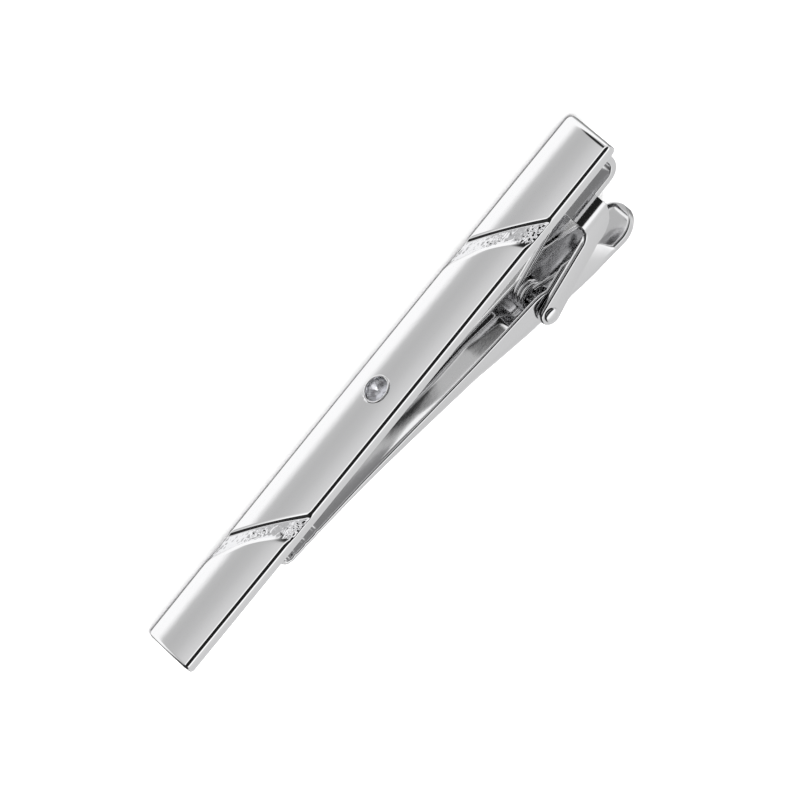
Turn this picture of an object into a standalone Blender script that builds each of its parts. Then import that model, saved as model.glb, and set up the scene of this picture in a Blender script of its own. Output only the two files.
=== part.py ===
"""Tie clip: a domed bar with a set stone, and a sprung clamp arm on a pinned bracket behind it.

The clip is in the position in which it is worn. X runs along the bar, with the hinge end at -X.
The front of the bar faces -Y, and depth behind the bar's back face is +Y. +Z is up.
The origin is the centre of the bar's back face. Driving sizes are in millimetres.
"""

from math import acos, atan2, cos, hypot, pi, radians, sin, sqrt

import bmesh
import bpy
import numpy as np
from mathutils import Matrix, Vector

MM = 0.001

# Front bar
BAR_LENGTH = 58.0
BAR_WIDTH = 6.4
BAR_BARREL = 0.2
BAR_WALL = 1.1
BAR_CROWN = 0.18
BAR_EDGE_ROUND = 0.30
BAR_HINGE_END_ROUND = 0.65
BAND_WIDTH = 2.4
BAND_FLARE = 1.3
BAND_DEPTH = 0.25
BAND_SWEEP = 6.2
BAND_CENTRES = (-16.0, 16.7)
END_ROUND_FALL = 0.9

# Stone setting
CUP_RADIUS = 1.36
CUP_WALL = 0.20
CUP_FLOOR = 0.15
CUP_STANDING = 0.08
CUP_SINK = 1.08
LIP_CHAMFER = 0.08
STONE_BELOW_LIP = 0.02
STONE_CROWN = 0.22
STONE_GIRDLE = 0.06
STONE_TABLE_SHARE = 0.50
STONE_PAVILION = 0.66
STONE_SIDES = 16
SETTING_GAP = 0.03

# Hinge bracket, one folded strip
BRACKET_SHEET = 0.65
SOLDER_FILM = 0.03
LEAF_LENGTH = 9.0
NECK_INSET = 0.70
NECK_RADIUS = 1.70
NECK_WIDTH = 3.3
EAR_SPREAD = 5.0
EAR_BEND_RADIUS = 1.20
WEB_SETBACK = 1.75
WEB_LENGTH = 2.95
EAR_SHOULDER_RADIUS = 1.5
EAR_HEEL_RADIUS = 2.8
BOSS_MARGIN = 0.33
WEB_LAP = 1.0

# Hinge pin
PIN_SETBACK = 12.25
PIN_DEPTH = 7.3
PIN_RADIUS = 0.45
PIN_HEAD_OVERHANG = 0.27
PIN_HEAD_HEIGHT = 0.32
PIN_HEAD_EDGE = 0.08
PIN_CLEARANCE = 0.04
HEAD_CLEARANCE = 0.03

# Clamp arm, one pressed strip from the jaw's tip to the thumb plate
ARM_SHEET = 0.40
SIDE_PLAY = 0.10
JAW_REACH = 31.35
JAW_WIDTH = 2.7
JAW_STANDOFF = 2.35
JAW_TIP_GAP = 0.08
LIP_RADIUS = 0.45
RIB_COUNT = 3
RIB_PITCH = 1.35
RIB_HEIGHT = 0.10
RIB_START = 1.05
TROUGH_START = 12.6
DISH_FULL = 21.0
DISH_HOLLOW = 0.60
BOX_PLACES = (-6.95, -3.1, -2.3)
BOX_SHARES = (0.0, 0.28, 1.0)
SHOULDER_START = 10.0
SHOULDER_LENGTH = 14.0
CHEEK_ABOVE_PIN = 1.90
FLOOR_BELOW_PIN = 1.58
CHEEK_LENGTH = 7.3
CHEEK_END_ABOVE_PIN = 0.50
CHEEK_PLACES = (0.0, 0.8, 1.4, 3.9, 5.4)
CHEEK_RISES = (0.0, -0.17, -0.48, 0.0, -0.6)
CHEEK_BLEND = 0.6
DISH_START = 0.10
DISH_SPAN = 0.85
DISH_DEPTH = 2.30
DISH_POWER = 1.6
FLOOR_PLACES = (-1.7, -0.4, 2.5, 5.0)
THUMB_REACH = 11.35
THUMB_WIDTH = 4.7
THUMB_DEPTH = 1.80
THUMB_RIM = 0.85
WING_START = 3.9
WING_LEDGE = 0.05
THUMB_TIP_HALF = 0.35
EDGE_GAP = 0.03
HOLLOW_LEAST = 0.10
OUTER_POWERS = ((-31.35, -17.75, -8.0, -2.6, 11.35), (7.0, 5.0, 3.6, 7.0, 7.0))
INNER_POWERS = ((-18.75, -14.0, -11.5, -8.0, -2.6, 11.35), (2.0, 2.4, 5.0, 5.0, 9.0, 6.0))

# Torsion spring
WIRE_RADIUS = 0.21
COIL_CLEARANCE = 0.59
COIL_SHIFT = (0.20, -0.49)
COIL_TURNS = 3.0
COIL_PITCH = 0.50
SPRING_GAP = 0.05

# Mesh fineness
ROUND_SIDES = 32
SECTION_STEPS = 12
BAR_STEPS_ACROSS = 14
BAR_STEPS_ALONG = 24

# Places worked out from the sizes above
HALF_LENGTH = BAR_LENGTH / 2
NECK_CENTRE = HALF_LENGTH - NECK_INSET - NECK_RADIUS
PIN_ALONG = NECK_CENTRE - PIN_SETBACK
EAR_OUTER = EAR_SPREAD / 2
EAR_INNER = EAR_OUTER - BRACKET_SHEET
CHEEK_HALF = EAR_INNER - SIDE_PLAY
WEB_OUTER_DEPTH = SOLDER_FILM + 2 * NECK_RADIUS
WEB_INNER_DEPTH = WEB_OUTER_DEPTH - BRACKET_SHEET
WEB_HEEL = NECK_CENTRE - WEB_SETBACK
WEB_FRONT = WEB_HEEL - WEB_LENGTH
TIP_ALONG = PIN_ALONG - JAW_REACH
HOLE_RADIUS = PIN_RADIUS + PIN_CLEARANCE
PIN_HEAD_RADIUS = PIN_RADIUS + PIN_HEAD_OVERHANG
BOSS_RADIUS = PIN_HEAD_RADIUS + BOSS_MARGIN
COIL_RADIUS = PIN_RADIUS + COIL_CLEARANCE + WIRE_RADIUS
RIM_DEPTH = PIN_DEPTH + THUMB_DEPTH - THUMB_RIM


def at(along, depth, up):
    """A point: distance from the bar's centre towards the hinge end, depth behind the back face, height."""
    return Vector((-along * MM, depth * MM, up * MM))


def clear_scene():
    for thing in list(bpy.data.objects):
        bpy.data.objects.remove(thing, do_unlink=True)


def material(name, colour, metallic, roughness):
    made = bpy.data.materials.new(name)
    made.use_nodes = True
    shader = made.node_tree.nodes["Principled BSDF"]
    shader.inputs["Base Color"].default_value = (*colour, 1.0)
    shader.inputs["Metallic"].default_value = metallic
    shader.inputs["Roughness"].default_value = roughness
    return made


def add_object(name, points, faces, finish=None, smooth=True):
    """Make an object from points and faces, with its normals turned outwards."""
    mesh = bpy.data.meshes.new(name)
    mesh.from_pydata(points, [], faces)
    work = bmesh.new()
    work.from_mesh(mesh)
    bmesh.ops.recalc_face_normals(work, faces=work.faces)
    work.to_mesh(mesh)
    work.free()
    if finish:
        mesh.materials.append(finish)
    if smooth:
        mesh.shade_smooth()
        mesh.set_sharp_from_angle(angle=radians(35))
    made = bpy.data.objects.new(name, mesh)
    bpy.context.scene.collection.objects.link(made)
    return made


def move_origin(thing, point):
    """Put the object's origin at a point and leave its shape where it is."""
    thing.data.transform(Matrix.Translation(-point))
    thing.location = point


def combine(target, tool, operation):
    """Join or cut the target with a tool, which is then removed."""
    step = target.modifiers.new(operation.lower(), "BOOLEAN")
    step.operation = operation
    step.object = tool
    step.solver = "EXACT"
    bpy.context.view_layer.update()
    shape = bpy.data.meshes.new_from_object(target.evaluated_get(bpy.context.evaluated_depsgraph_get()))
    target.modifiers.remove(step)
    target.data = shape
    bpy.data.objects.remove(tool, do_unlink=True)


def arc(centre, radius, start, end, steps):
    """Points of an arc in the side view, from one angle to another in degrees."""
    angles = np.radians(np.linspace(start, end, steps + 1))
    return [(centre[0] + radius * cos(a), centre[1] + radius * sin(a)) for a in angles]


def tangent_angle(outside, centre, radius, side):
    """Angle at which a line from an outside point touches a circle; side is +1 or -1."""
    reach = hypot(outside[0] - centre[0], outside[1] - centre[1])
    heading = atan2(outside[1] - centre[1], outside[0] - centre[0])
    return heading + side * acos(radius / reach)


def extrude_side_view(name, outline, low, high, finish=None):
    """Extrude a side-view outline of (along, depth) between two heights."""
    count = len(outline)
    points = [at(a, d, low) for a, d in outline] + [at(a, d, high) for a, d in outline]
    faces = [tuple(range(count)), tuple(range(2 * count - 1, count - 1, -1))]
    faces += [(i, (i + 1) % count, count + (i + 1) % count, count + i) for i in range(count)]
    return add_object(name, points, faces, finish)


def loft(name, loops, finish=None):
    """Join closed loops of equal length in order, and close both ends."""
    count = len(loops[0])
    points = [point for loop in loops for point in loop]
    faces = [tuple(range(count)), tuple(range(len(points) - 1, len(points) - count - 1, -1))]
    for row in range(len(loops) - 1):
        low = row * count
        high = low + count
        faces += [(low + i, low + (i + 1) % count, high + (i + 1) % count, high + i) for i in range(count)]
    return add_object(name, points, faces, finish)


def turn(name, profile, place, sides, finish=None):
    """Turn a closed profile of (radius, station) about an axis; place gives a point for each."""
    points = []
    rings = []
    for radius, station in profile:
        if radius == 0:
            rings.append([len(points)] * sides)
            points.append(place(0, 0, station))
            continue
        rings.append(list(range(len(points), len(points) + sides)))
        points += [place(radius * cos(2 * pi * i / sides), radius * sin(2 * pi * i / sides), station)
                   for i in range(sides)]
    faces = []
    for low, high in zip(rings, rings[1:] + rings[:1]):
        for i in range(sides):
            j = (i + 1) % sides
            corners = list(dict.fromkeys((low[i], low[j], high[j], high[i])))
            if len(corners) > 2:
                faces.append(corners)
    return add_object(name, points, faces, finish)


def about_pin(x, y, station):
    """A point beside the hinge pin's axis, at a station along it."""
    return at(PIN_ALONG + x, PIN_DEPTH + y, station)


def into_bar(x, y, station):
    """A point beside the stone's axis, at a depth."""
    return at(x, station, y)


def pin_cylinder(name, radius, half_length):
    """A plain cylinder on the pin's axis, used to cut holes."""
    profile = [(0, -half_length), (radius, -half_length), (radius, half_length), (0, half_length)]
    return turn(name, profile, about_pin, ROUND_SIDES)


# ---------------------------------------------------------------- front bar

def bar_half_width(along):
    """The bar is slightly barrel shaped: widest in the middle."""
    return (BAR_WIDTH - BAR_BARREL * (along / HALF_LENGTH) ** 2) / 2


def crown(share):
    """Rise of the domed front above its side walls, for a place from -1 to 1 across the bar."""
    return BAR_CROWN * (1 - share * share)


def bar_section(along, shrink, drop):
    """One closed section of the bar: flat back, side walls, rounded edges and domed front."""
    half = bar_half_width(along) - shrink
    edge = BAR_EDGE_ROUND
    loop = [at(along, 0, half), at(along, 0, -half)]
    for angle in np.radians([0, 30, 60, 90]):
        depth = -(BAR_WALL - drop - edge) - edge * sin(angle)
        loop.append(at(along, depth, -(half - edge + edge * cos(angle))))
    for share in np.linspace(-1, 1, BAR_STEPS_ACROSS + 1)[1:-1]:
        loop.append(at(along, -(BAR_WALL - drop) - crown(share), share * (half - edge)))
    for angle in np.radians([90, 60, 30, 0]):
        depth = -(BAR_WALL - drop - edge) - edge * sin(angle)
        loop.append(at(along, depth, half - edge + edge * cos(angle)))
    return loop


def bar_solid(name, finish):
    """The whole bar, with a small round at the free end and a larger one at the hinge end."""
    stations = []
    for angle in np.radians([0, 30, 60]):
        sink = BAR_EDGE_ROUND * (1 - sin(angle))
        stations.append((-HALF_LENGTH + BAR_EDGE_ROUND * (1 - cos(angle)), sink, sink))
    start = -HALF_LENGTH + BAR_EDGE_ROUND
    end = HALF_LENGTH - BAR_HINGE_END_ROUND
    stations += [(a, 0.0, 0.0) for a in np.linspace(start, end, BAR_STEPS_ALONG + 1)]
    for angle in np.radians([30, 60, 90]):
        drop = END_ROUND_FALL * BAR_HINGE_END_ROUND * (1 - cos(angle))
        inset = BAR_EDGE_ROUND * (1 - cos(angle))
        stations.append((end + BAR_HINGE_END_ROUND * sin(angle), inset, drop))
    return loft(name, [bar_section(*station) for station in stations], finish)


def band_cutter(centre):
    """A slanting band across the front, curved on one side; its floor follows the dome."""
    across = np.linspace(-1.25, 1.25, 21)
    loops = []
    for share in across:
        up = share * BAR_WIDTH / 2
        slant = centre + BAND_SWEEP * share / 2 - BAND_FLARE * share * share / 2
        floor = -(BAR_WALL - BAND_DEPTH) - crown(min(abs(share), 1.0))
        top = -(BAR_WALL + BAR_CROWN + 1.0)
        half = (BAND_WIDTH + BAND_FLARE * share * share) / 2
        loops.append([at(slant - half, floor, up), at(slant + half, floor, up),
                      at(slant + half, top, up), at(slant - half, top, up)])
    return loft("band_cutter", loops)


def make_front_bar(finish):
    bar = bar_solid("front_bar", finish)
    for centre in BAND_CENTRES:
        combine(bar, band_cutter(centre), "DIFFERENCE")
    front = -(BAR_WALL + BAR_CROWN)
    radius = CUP_RADIUS + SETTING_GAP
    profile = [(0, front + CUP_SINK), (radius, front + CUP_SINK), (radius, front - 1), (0, front - 1)]
    pocket = turn("pocket_cutter", profile, into_bar, ROUND_SIDES)
    combine(bar, pocket, "DIFFERENCE")
    return bar


# ------------------------------------------------------------ stone setting

def cup_depths():
    """Depths of the cup's underside and of its lip."""
    front = -(BAR_WALL + BAR_CROWN)
    return front + CUP_SINK - SETTING_GAP, front - CUP_STANDING


def make_stone_cup(finish):
    base, lip = cup_depths()
    inner = CUP_RADIUS - CUP_WALL
    floor = base - CUP_FLOOR
    bevel = LIP_CHAMFER
    profile = [(0, base), (CUP_RADIUS, base), (CUP_RADIUS, lip + bevel), (CUP_RADIUS - bevel / 2, lip),
               (inner + bevel / 2, lip), (inner, lip + bevel), (inner, floor), (0, floor)]
    return turn("stone_cup", profile, into_bar, ROUND_SIDES, finish)


def make_crystal(finish):
    """A round cut stone: table, sloping crown, girdle and pavilion, with flat facets."""
    base, lip = cup_depths()
    girdle = CUP_RADIUS - CUP_WALL - SETTING_GAP
    top = lip - STONE_BELOW_LIP
    low = top + STONE_CROWN
    belt = low + STONE_GIRDLE
    bottom = min(belt + STONE_PAVILION, base - CUP_FLOOR - SETTING_GAP)
    profile = [(0, top), (girdle * STONE_TABLE_SHARE, top), (girdle, low), (girdle, belt), (0, bottom)]
    stone = turn("crystal", profile, into_bar, STONE_SIDES, finish)
    stone.data.shade_flat()
    return stone


# ----------------------------------------------------------- hinge bracket

def ear_outline():
    """Side view of the web and one ear, which ends in a round boss about the pin."""
    pin = (PIN_ALONG, PIN_DEPTH)
    shoulder = arc((WEB_FRONT - EAR_SHOULDER_RADIUS, WEB_OUTER_DEPTH), EAR_SHOULDER_RADIUS, 0, 75, 6)
    heel = arc((WEB_HEEL - EAR_HEEL_RADIUS, WEB_OUTER_DEPTH), EAR_HEEL_RADIUS, 95, 0, 8)
    upper = tangent_angle(shoulder[-1], pin, BOSS_RADIUS, -1)
    lower = tangent_angle(heel[0], pin, BOSS_RADIUS, 1)
    boss = arc(pin, BOSS_RADIUS, np.degrees(upper) + 360, np.degrees(lower), 20)
    return [(WEB_FRONT, WEB_INNER_DEPTH)] + shoulder + boss + heel + [(WEB_HEEL, WEB_INNER_DEPTH)]


def neck_outline():
    """Side view of the strip: the leaf under the bar, the round neck and the leg that joins the web."""
    middle = (NECK_CENTRE, SOLDER_FILM + NECK_RADIUS)
    outer = arc(middle, NECK_RADIUS, -90, 90, 16)
    inner = arc(middle, NECK_RADIUS - BRACKET_SHEET, 90, -90, 16)
    leaf_end = NECK_CENTRE - LEAF_LENGTH
    web_lap = WEB_HEEL - WEB_LAP
    outline = [(leaf_end, SOLDER_FILM)] + outer + [(web_lap, WEB_OUTER_DEPTH), (web_lap, WEB_INNER_DEPTH)]
    return outline + inner + [(leaf_end, SOLDER_FILM + BRACKET_SHEET)]


def bent_envelope():
    """The space inside the strip's outer faces: flat web, round bends and straight sides, along the bar."""
    radius = EAR_BEND_RADIUS
    far = PIN_DEPTH + 5
    bend = arc((WEB_INNER_DEPTH + radius, EAR_OUTER - radius), radius, 90, 180, 8)
    half = [(far, EAR_OUTER)] + bend
    outline = half + [(depth, -up) for depth, up in reversed(half)]
    ends = (PIN_ALONG - 5, WEB_HEEL + 1)
    return loft("bent_envelope", [[at(end, depth, up) for depth, up in outline] for end in ends])


def make_hinge_bracket(finish):
    spare = 0.5
    ears = extrude_side_view("hinge_bracket", ear_outline(), -EAR_OUTER - spare, EAR_OUTER + spare, finish)
    combine(ears, bent_envelope(), "INTERSECT")
    clear = 1.0
    below = [(PIN_ALONG - 5, WEB_OUTER_DEPTH), (WEB_HEEL + clear, WEB_OUTER_DEPTH),
             (WEB_HEEL + clear, PIN_DEPTH + 5), (PIN_ALONG - 5, PIN_DEPTH + 5)]
    combine(ears, extrude_side_view("between_ears", below, -EAR_INNER, EAR_INNER), "DIFFERENCE")
    combine(ears, extrude_side_view("neck", neck_outline(), -NECK_WIDTH / 2, NECK_WIDTH / 2), "UNION")
    combine(ears, pin_cylinder("ear_hole", HOLE_RADIUS, EAR_OUTER + clear), "DIFFERENCE")
    ears.data.materials.clear()
    ears.data.materials.append(finish)
    return ears


def make_hinge_pin(finish):
    """A rivet with a domed head outside each ear."""
    seat = EAR_OUTER + HEAD_CLEARANCE
    half = []
    for angle in np.radians([90, 65, 40, 15]):
        half.append((PIN_HEAD_RADIUS * cos(angle) if angle < 1.5 else 0,
                     seat + PIN_HEAD_EDGE + (PIN_HEAD_HEIGHT - PIN_HEAD_EDGE) * sin(angle)))
    half += [(PIN_HEAD_RADIUS, seat), (PIN_RADIUS, seat)]
    profile = [(r, -s) for r, s in half] + [(r, s) for r, s in reversed(half)]
    return turn("hinge_pin", profile, about_pin, ROUND_SIDES, finish)


# --------------------------------------------------------------- clamp arm

def thumb_half_width(reach):
    """Half width of the thumb plate: it flares slowly from the cheeks to a full round end."""
    round_start = THUMB_REACH - THUMB_WIDTH / 2
    if reach > round_start:
        return sqrt(max((THUMB_WIDTH / 2) ** 2 - (reach - round_start) ** 2, THUMB_TIP_HALF ** 2))
    return float(np.interp(reach, [WING_START, round_start], [CHEEK_HALF, THUMB_WIDTH / 2]))


def arm_half_width(reach):
    """Half width of the arm's upper part for a distance from the pin, negative towards the jaw's tip."""
    shoulder = SHOULDER_START - JAW_REACH
    if reach > CHEEK_LENGTH:
        blend = min((reach - CHEEK_LENGTH) / CHEEK_BLEND, 1.0)
        return CHEEK_HALF + (thumb_half_width(reach) - CHEEK_HALF) * blend
    return float(np.interp(reach, [shoulder, shoulder + SHOULDER_LENGTH], [JAW_WIDTH / 2, CHEEK_HALF]))


def arm_top(reach):
    """Depth of the arm's bar side: the jaw's straight line, then the cheeks and the thumb plate's rim."""
    cheek = PIN_DEPTH - CHEEK_ABOVE_PIN
    places = [-JAW_REACH, *CHEEK_PLACES, CHEEK_LENGTH, CHEEK_LENGTH + CHEEK_BLEND]
    depths = [JAW_STANDOFF, *(cheek - rise for rise in CHEEK_RISES),
              PIN_DEPTH - CHEEK_END_ABOVE_PIN, RIM_DEPTH]
    return float(np.interp(reach, places, depths))


def arm_floor(reach):
    """Depth of the arm's outer side: it falls away from the jaw's line and runs under the coil."""
    bent = min(reach, FLOOR_PLACES[0])
    growth = max((bent + JAW_REACH) / JAW_REACH - DISH_START, 0.0) / DISH_SPAN
    dished = arm_top(bent) + ARM_SHEET + EDGE_GAP + DISH_DEPTH * growth ** DISH_POWER
    deep = PIN_DEPTH + FLOOR_BELOW_PIN
    return float(np.interp(reach, FLOOR_PLACES, [dished, deep, deep, PIN_DEPTH + THUMB_DEPTH]))


def wing(reach):
    """Half width and top depth of the arm's lower part, which stands out as wings on the thumb plate."""
    top = arm_top(reach)
    height = arm_floor(reach) - top
    if reach < WING_START:
        return arm_half_width(reach), top + height / 4
    return max(thumb_half_width(reach), arm_half_width(reach)), max(top, RIM_DEPTH) + WING_LEDGE


def trough(reach):
    """Half width and depth of the hollow between the arm's sides."""
    start = TROUGH_START - JAW_REACH
    full = DISH_FULL - JAW_REACH
    end = THUMB_REACH - ARM_SHEET
    opening = min(max((reach - start) / (full - start), 0.0), 1.0)
    boxed = float(np.interp(reach, BOX_PLACES, BOX_SHARES))
    half = max(arm_half_width(reach) - ARM_SHEET, HOLLOW_LEAST)
    dish = DISH_HOLLOW * opening * opening * (3 - 2 * opening)
    whole = arm_floor(reach) - ARM_SHEET - arm_top(reach)
    depth = dish + (whole - dish) * boxed
    if reach > end:
        depth = 0.0
    return half, depth


def squareness(reach):
    """Superellipse exponents of the outer and inner sections: round on the jaw, square by the pin."""
    return float(np.interp(reach, *OUTER_POWERS)), float(np.interp(reach, *INNER_POWERS))


def arm_section(origin, down, half, wing_half, wing_fall, height, hollow, powers):
    """A closed section: down one side, round the floor and up, then back along the hollow."""
    flat = [(half, 0.0)]
    for angle in np.linspace(0, pi, SECTION_STEPS + 1):
        side = abs(cos(angle)) ** (2 / powers[0]) * (1 if cos(angle) >= 0 else -1)
        fall = wing_fall + (height - wing_fall) * max(sin(angle), 0.0) ** (2 / powers[0])
        flat.append((side * wing_half, fall))
    flat.append((-half, 0.0))
    for angle in np.linspace(pi, 0, SECTION_STEPS + 1):
        side = abs(cos(angle)) ** (2 / powers[1]) * (1 if cos(angle) >= 0 else -1)
        flat.append((side * hollow[0], hollow[1] * max(sin(angle), 0.0) ** (2 / powers[1])))
    return [at(origin[0] + down[0] * fall, origin[1] + down[1] * fall, side) for side, fall in flat]


def lip_sections():
    """The tip, bent round towards the bar: sections fan about the bend's centre."""
    centre = (TIP_ALONG + LIP_RADIUS + ARM_SHEET, JAW_STANDOFF - LIP_RADIUS)
    sections = []
    half = JAW_WIDTH / 2
    for depth, width in ((JAW_TIP_GAP, half - 0.25), (JAW_TIP_GAP + 0.12, half), (centre[1] * 0.5, half)):
        sections.append(((centre[0] - LIP_RADIUS, depth), (-1.0, 0.0), width))
    for angle in np.radians([180, 157, 135, 112]):
        heading = (cos(angle), sin(angle))
        spot = (centre[0] + LIP_RADIUS * heading[0], centre[1] + LIP_RADIUS * heading[1])
        sections.append((spot, heading, half))
    return [arm_section(spot, heading, width, width, ARM_SHEET / 4, ARM_SHEET, (width * 0.5, 0.0), (7.0, 3.0))
            for spot, heading, width in sections]


def arm_stations():
    """Distances from the pin at which the arm has a section, with the ribs' own ones near the tip."""
    start = -JAW_REACH + LIP_RADIUS + ARM_SHEET
    ribs = []
    for number in range(RIB_COUNT):
        foot = -JAW_REACH + RIB_START + number * RIB_PITCH
        ribs += [(foot, 0.0), (foot + 0.30, RIB_HEIGHT), (foot + 0.45, RIB_HEIGHT), (foot + 0.60, 0.0)]
    plain = list(np.linspace(ribs[-1][0] + 0.5, -3.0, 34)) + list(np.linspace(-2.6, THUMB_REACH - 0.6, 42))
    plain += [THUMB_REACH - ARM_SHEET - 0.02, THUMB_REACH - ARM_SHEET + 0.02, THUMB_REACH - 0.15, THUMB_REACH]
    return [(start, 0.0)] + ribs + [(reach, 0.0) for reach in plain]


def make_clamp_arm(finish):
    loops = lip_sections()
    for reach, rib in arm_stations():
        top = arm_top(reach) - rib
        wing_half, wing_top = wing(reach)
        loops.append(arm_section((PIN_ALONG + reach, top), (0.0, 1.0), arm_half_width(reach), wing_half,
                                 wing_top - top, arm_floor(reach) - top, trough(reach), squareness(reach)))
    arm = loft("clamp_arm", loops, finish)
    combine(arm, pin_cylinder("cheek_hole", HOLE_RADIUS, EAR_OUTER + 1.0), "DIFFERENCE")
    move_origin(arm, at(PIN_ALONG, PIN_DEPTH, 0))
    return arm


# ---------------------------------------------------------- torsion spring

def spring_path():
    """The web's leg, the coil, which hangs loosely on the pin, and the leg that presses the thumb plate."""
    inner_half = CHEEK_HALF - ARM_SHEET
    low = -(inner_half - WIRE_RADIUS - SPRING_GAP)
    high = low + COIL_TURNS * COIL_PITCH
    steps = int(COIL_TURNS * 16)
    middle = (PIN_ALONG + COIL_SHIFT[0], PIN_DEPTH + COIL_SHIFT[1])
    web_touch = (WEB_FRONT + 0.5, WEB_OUTER_DEPTH + WIRE_RADIUS + SPRING_GAP)
    thumb_touch = (PIN_ALONG + 6.6, PIN_DEPTH + THUMB_DEPTH - ARM_SHEET - WIRE_RADIUS - 2 * SPRING_GAP)
    first = tangent_angle(web_touch, middle, COIL_RADIUS, -1)
    last = tangent_angle(thumb_touch, middle, COIL_RADIUS, -1)
    sweep = -(2 * pi * COIL_TURNS) + (last - first)
    points = [at(*web_touch, low)]
    for step in range(steps + 1):
        angle = first + sweep * step / steps
        points.append(at(middle[0] + COIL_RADIUS * cos(angle), middle[1] + COIL_RADIUS * sin(angle),
                         low + (high - low) * step / steps))
    return points + [at(*thumb_touch, high)]


def make_torsion_spring(finish):
    curve = bpy.data.curves.new("torsion_spring", "CURVE")
    curve.dimensions = "3D"
    curve.bevel_depth = WIRE_RADIUS * MM
    curve.bevel_resolution = 2
    curve.use_fill_caps = True
    path = spring_path()
    line = curve.splines.new("POLY")
    line.points.add(len(path) - 1)
    for spot, point in zip(line.points, path):
        spot.co = (*point, 1.0)
    curve.materials.append(finish)
    spring = bpy.data.objects.new("torsion_spring", curve)
    bpy.context.scene.collection.objects.link(spring)
    return spring


def main():
    clear_scene()
    plated = material("rhodium_plate", (0.80, 0.80, 0.80), 1.0, 0.08)
    stamped = material("plated_stamping", (0.74, 0.74, 0.74), 1.0, 0.15)
    wire = material("spring_wire", (0.62, 0.62, 0.62), 1.0, 0.22)
    glass = material("cut_glass", (0.95, 0.97, 1.0), 0.0, 0.02)
    make_front_bar(plated)
    make_stone_cup(plated)
    make_crystal(glass)
    make_hinge_bracket(stamped)
    make_hinge_pin(stamped)
    make_clamp_arm(stamped)
    make_torsion_spring(wire)


main()
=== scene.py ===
from math import asin, atan, cos, degrees, pi, radians, sin

import bpy
import numpy as np
from mathutils import Matrix, Vector


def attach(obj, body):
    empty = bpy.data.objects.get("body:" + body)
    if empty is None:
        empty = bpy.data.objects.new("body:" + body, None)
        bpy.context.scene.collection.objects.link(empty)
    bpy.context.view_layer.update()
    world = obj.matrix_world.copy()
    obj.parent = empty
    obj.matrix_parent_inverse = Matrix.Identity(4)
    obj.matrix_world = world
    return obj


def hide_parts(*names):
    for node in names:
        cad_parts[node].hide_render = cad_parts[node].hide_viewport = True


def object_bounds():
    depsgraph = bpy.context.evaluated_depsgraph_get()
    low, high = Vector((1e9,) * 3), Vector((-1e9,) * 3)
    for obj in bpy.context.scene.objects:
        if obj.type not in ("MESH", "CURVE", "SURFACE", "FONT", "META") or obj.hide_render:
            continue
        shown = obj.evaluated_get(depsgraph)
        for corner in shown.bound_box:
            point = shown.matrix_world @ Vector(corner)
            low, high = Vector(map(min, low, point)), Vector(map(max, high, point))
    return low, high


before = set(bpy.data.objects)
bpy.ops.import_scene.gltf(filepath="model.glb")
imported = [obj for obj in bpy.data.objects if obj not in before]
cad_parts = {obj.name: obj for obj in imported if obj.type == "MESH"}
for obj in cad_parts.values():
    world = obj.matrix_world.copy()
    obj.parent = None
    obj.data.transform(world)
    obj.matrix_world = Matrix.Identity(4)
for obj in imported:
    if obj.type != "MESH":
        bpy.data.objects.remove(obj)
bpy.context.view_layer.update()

MM = 0.001

# Front bar, in millimetres as all sizes here
HALF_LENGTH = 29.0
HALF_WIDTH = 3.2
BARREL = 0.1
WALL = 1.1
CROWN = 0.18
EDGE_ROUND = 0.38
BACK_ROUND = 0.05
END_ROUND = 0.65
END_FALL = 0.9
END_BACK = 0.30
END_LEAST = 0.06
BAND_WIDTH = 2.4
BAND_FLARE = 1.3
BAND_DEPTH = 0.25
BAND_SWEEP = 6.2
BAND_CENTRES = (-16.0, 16.7)
# The bar's knots run end, band, middle, band, end, so the bands are these intervals
BAND_INTERVALS = (1, 3)
# Shares of a band: its easing slope, the depth reached there, and its steep wall
BAND_EASE = 0.38
BAND_STEP = 0.55
BAND_WALL = 0.10
# Only metal that stands this far in front of the back face is pressed or punched
FORMED_FROM = 0.80
FORMED_OVER = 0.30

# Punch marks: waves in millimetres, their place and fading in shares of a band, clumps in half widths
DIMPLE_DEPTH = 0.080
DIMPLE_WAVES = 28
DIMPLE_LENGTHS = (0.30, 0.70)
DIMPLE_SCALE = 5
HAMMERED = (0.18, 0.88)
HAMMERED_EASE = (0.20, 0.06)
DULLED = (0.2, 0.89)
CLUMP_SPACING = 0.95
CLUMP_SHIFT = 0.1
CLUMP_LEAST = 0.12

# Stone setting
CUP_RADIUS = 1.36
CUP_WALL = 0.20
CUP_STANDING = 0.08
CUP_SINK = 1.05
CUP_LIP = 0.09
CUP_FLOOR = 0.20
CUP_FLOOR_MIDDLE = 0.15
POCKET_LAP = 0.05
POCKET_WALL = 0.12
POCKET_BELOW = 0.03
STONE_PLAY = 0.03
STONE_CROWN = 0.24
STONE_PAVILION = 0.74
GIRDLE_EDGE = 0.05
CULET_ABOVE = 0.17
# Facet corners: shares of the girdle's radius, and of the crown's or pavilion's height
TABLE_SHARE = 0.48
STAR_SHARE = 0.72
STAR_FALL = 0.42
HALVES_SHARE = 0.26
HALVES_FALL = 0.78

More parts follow.
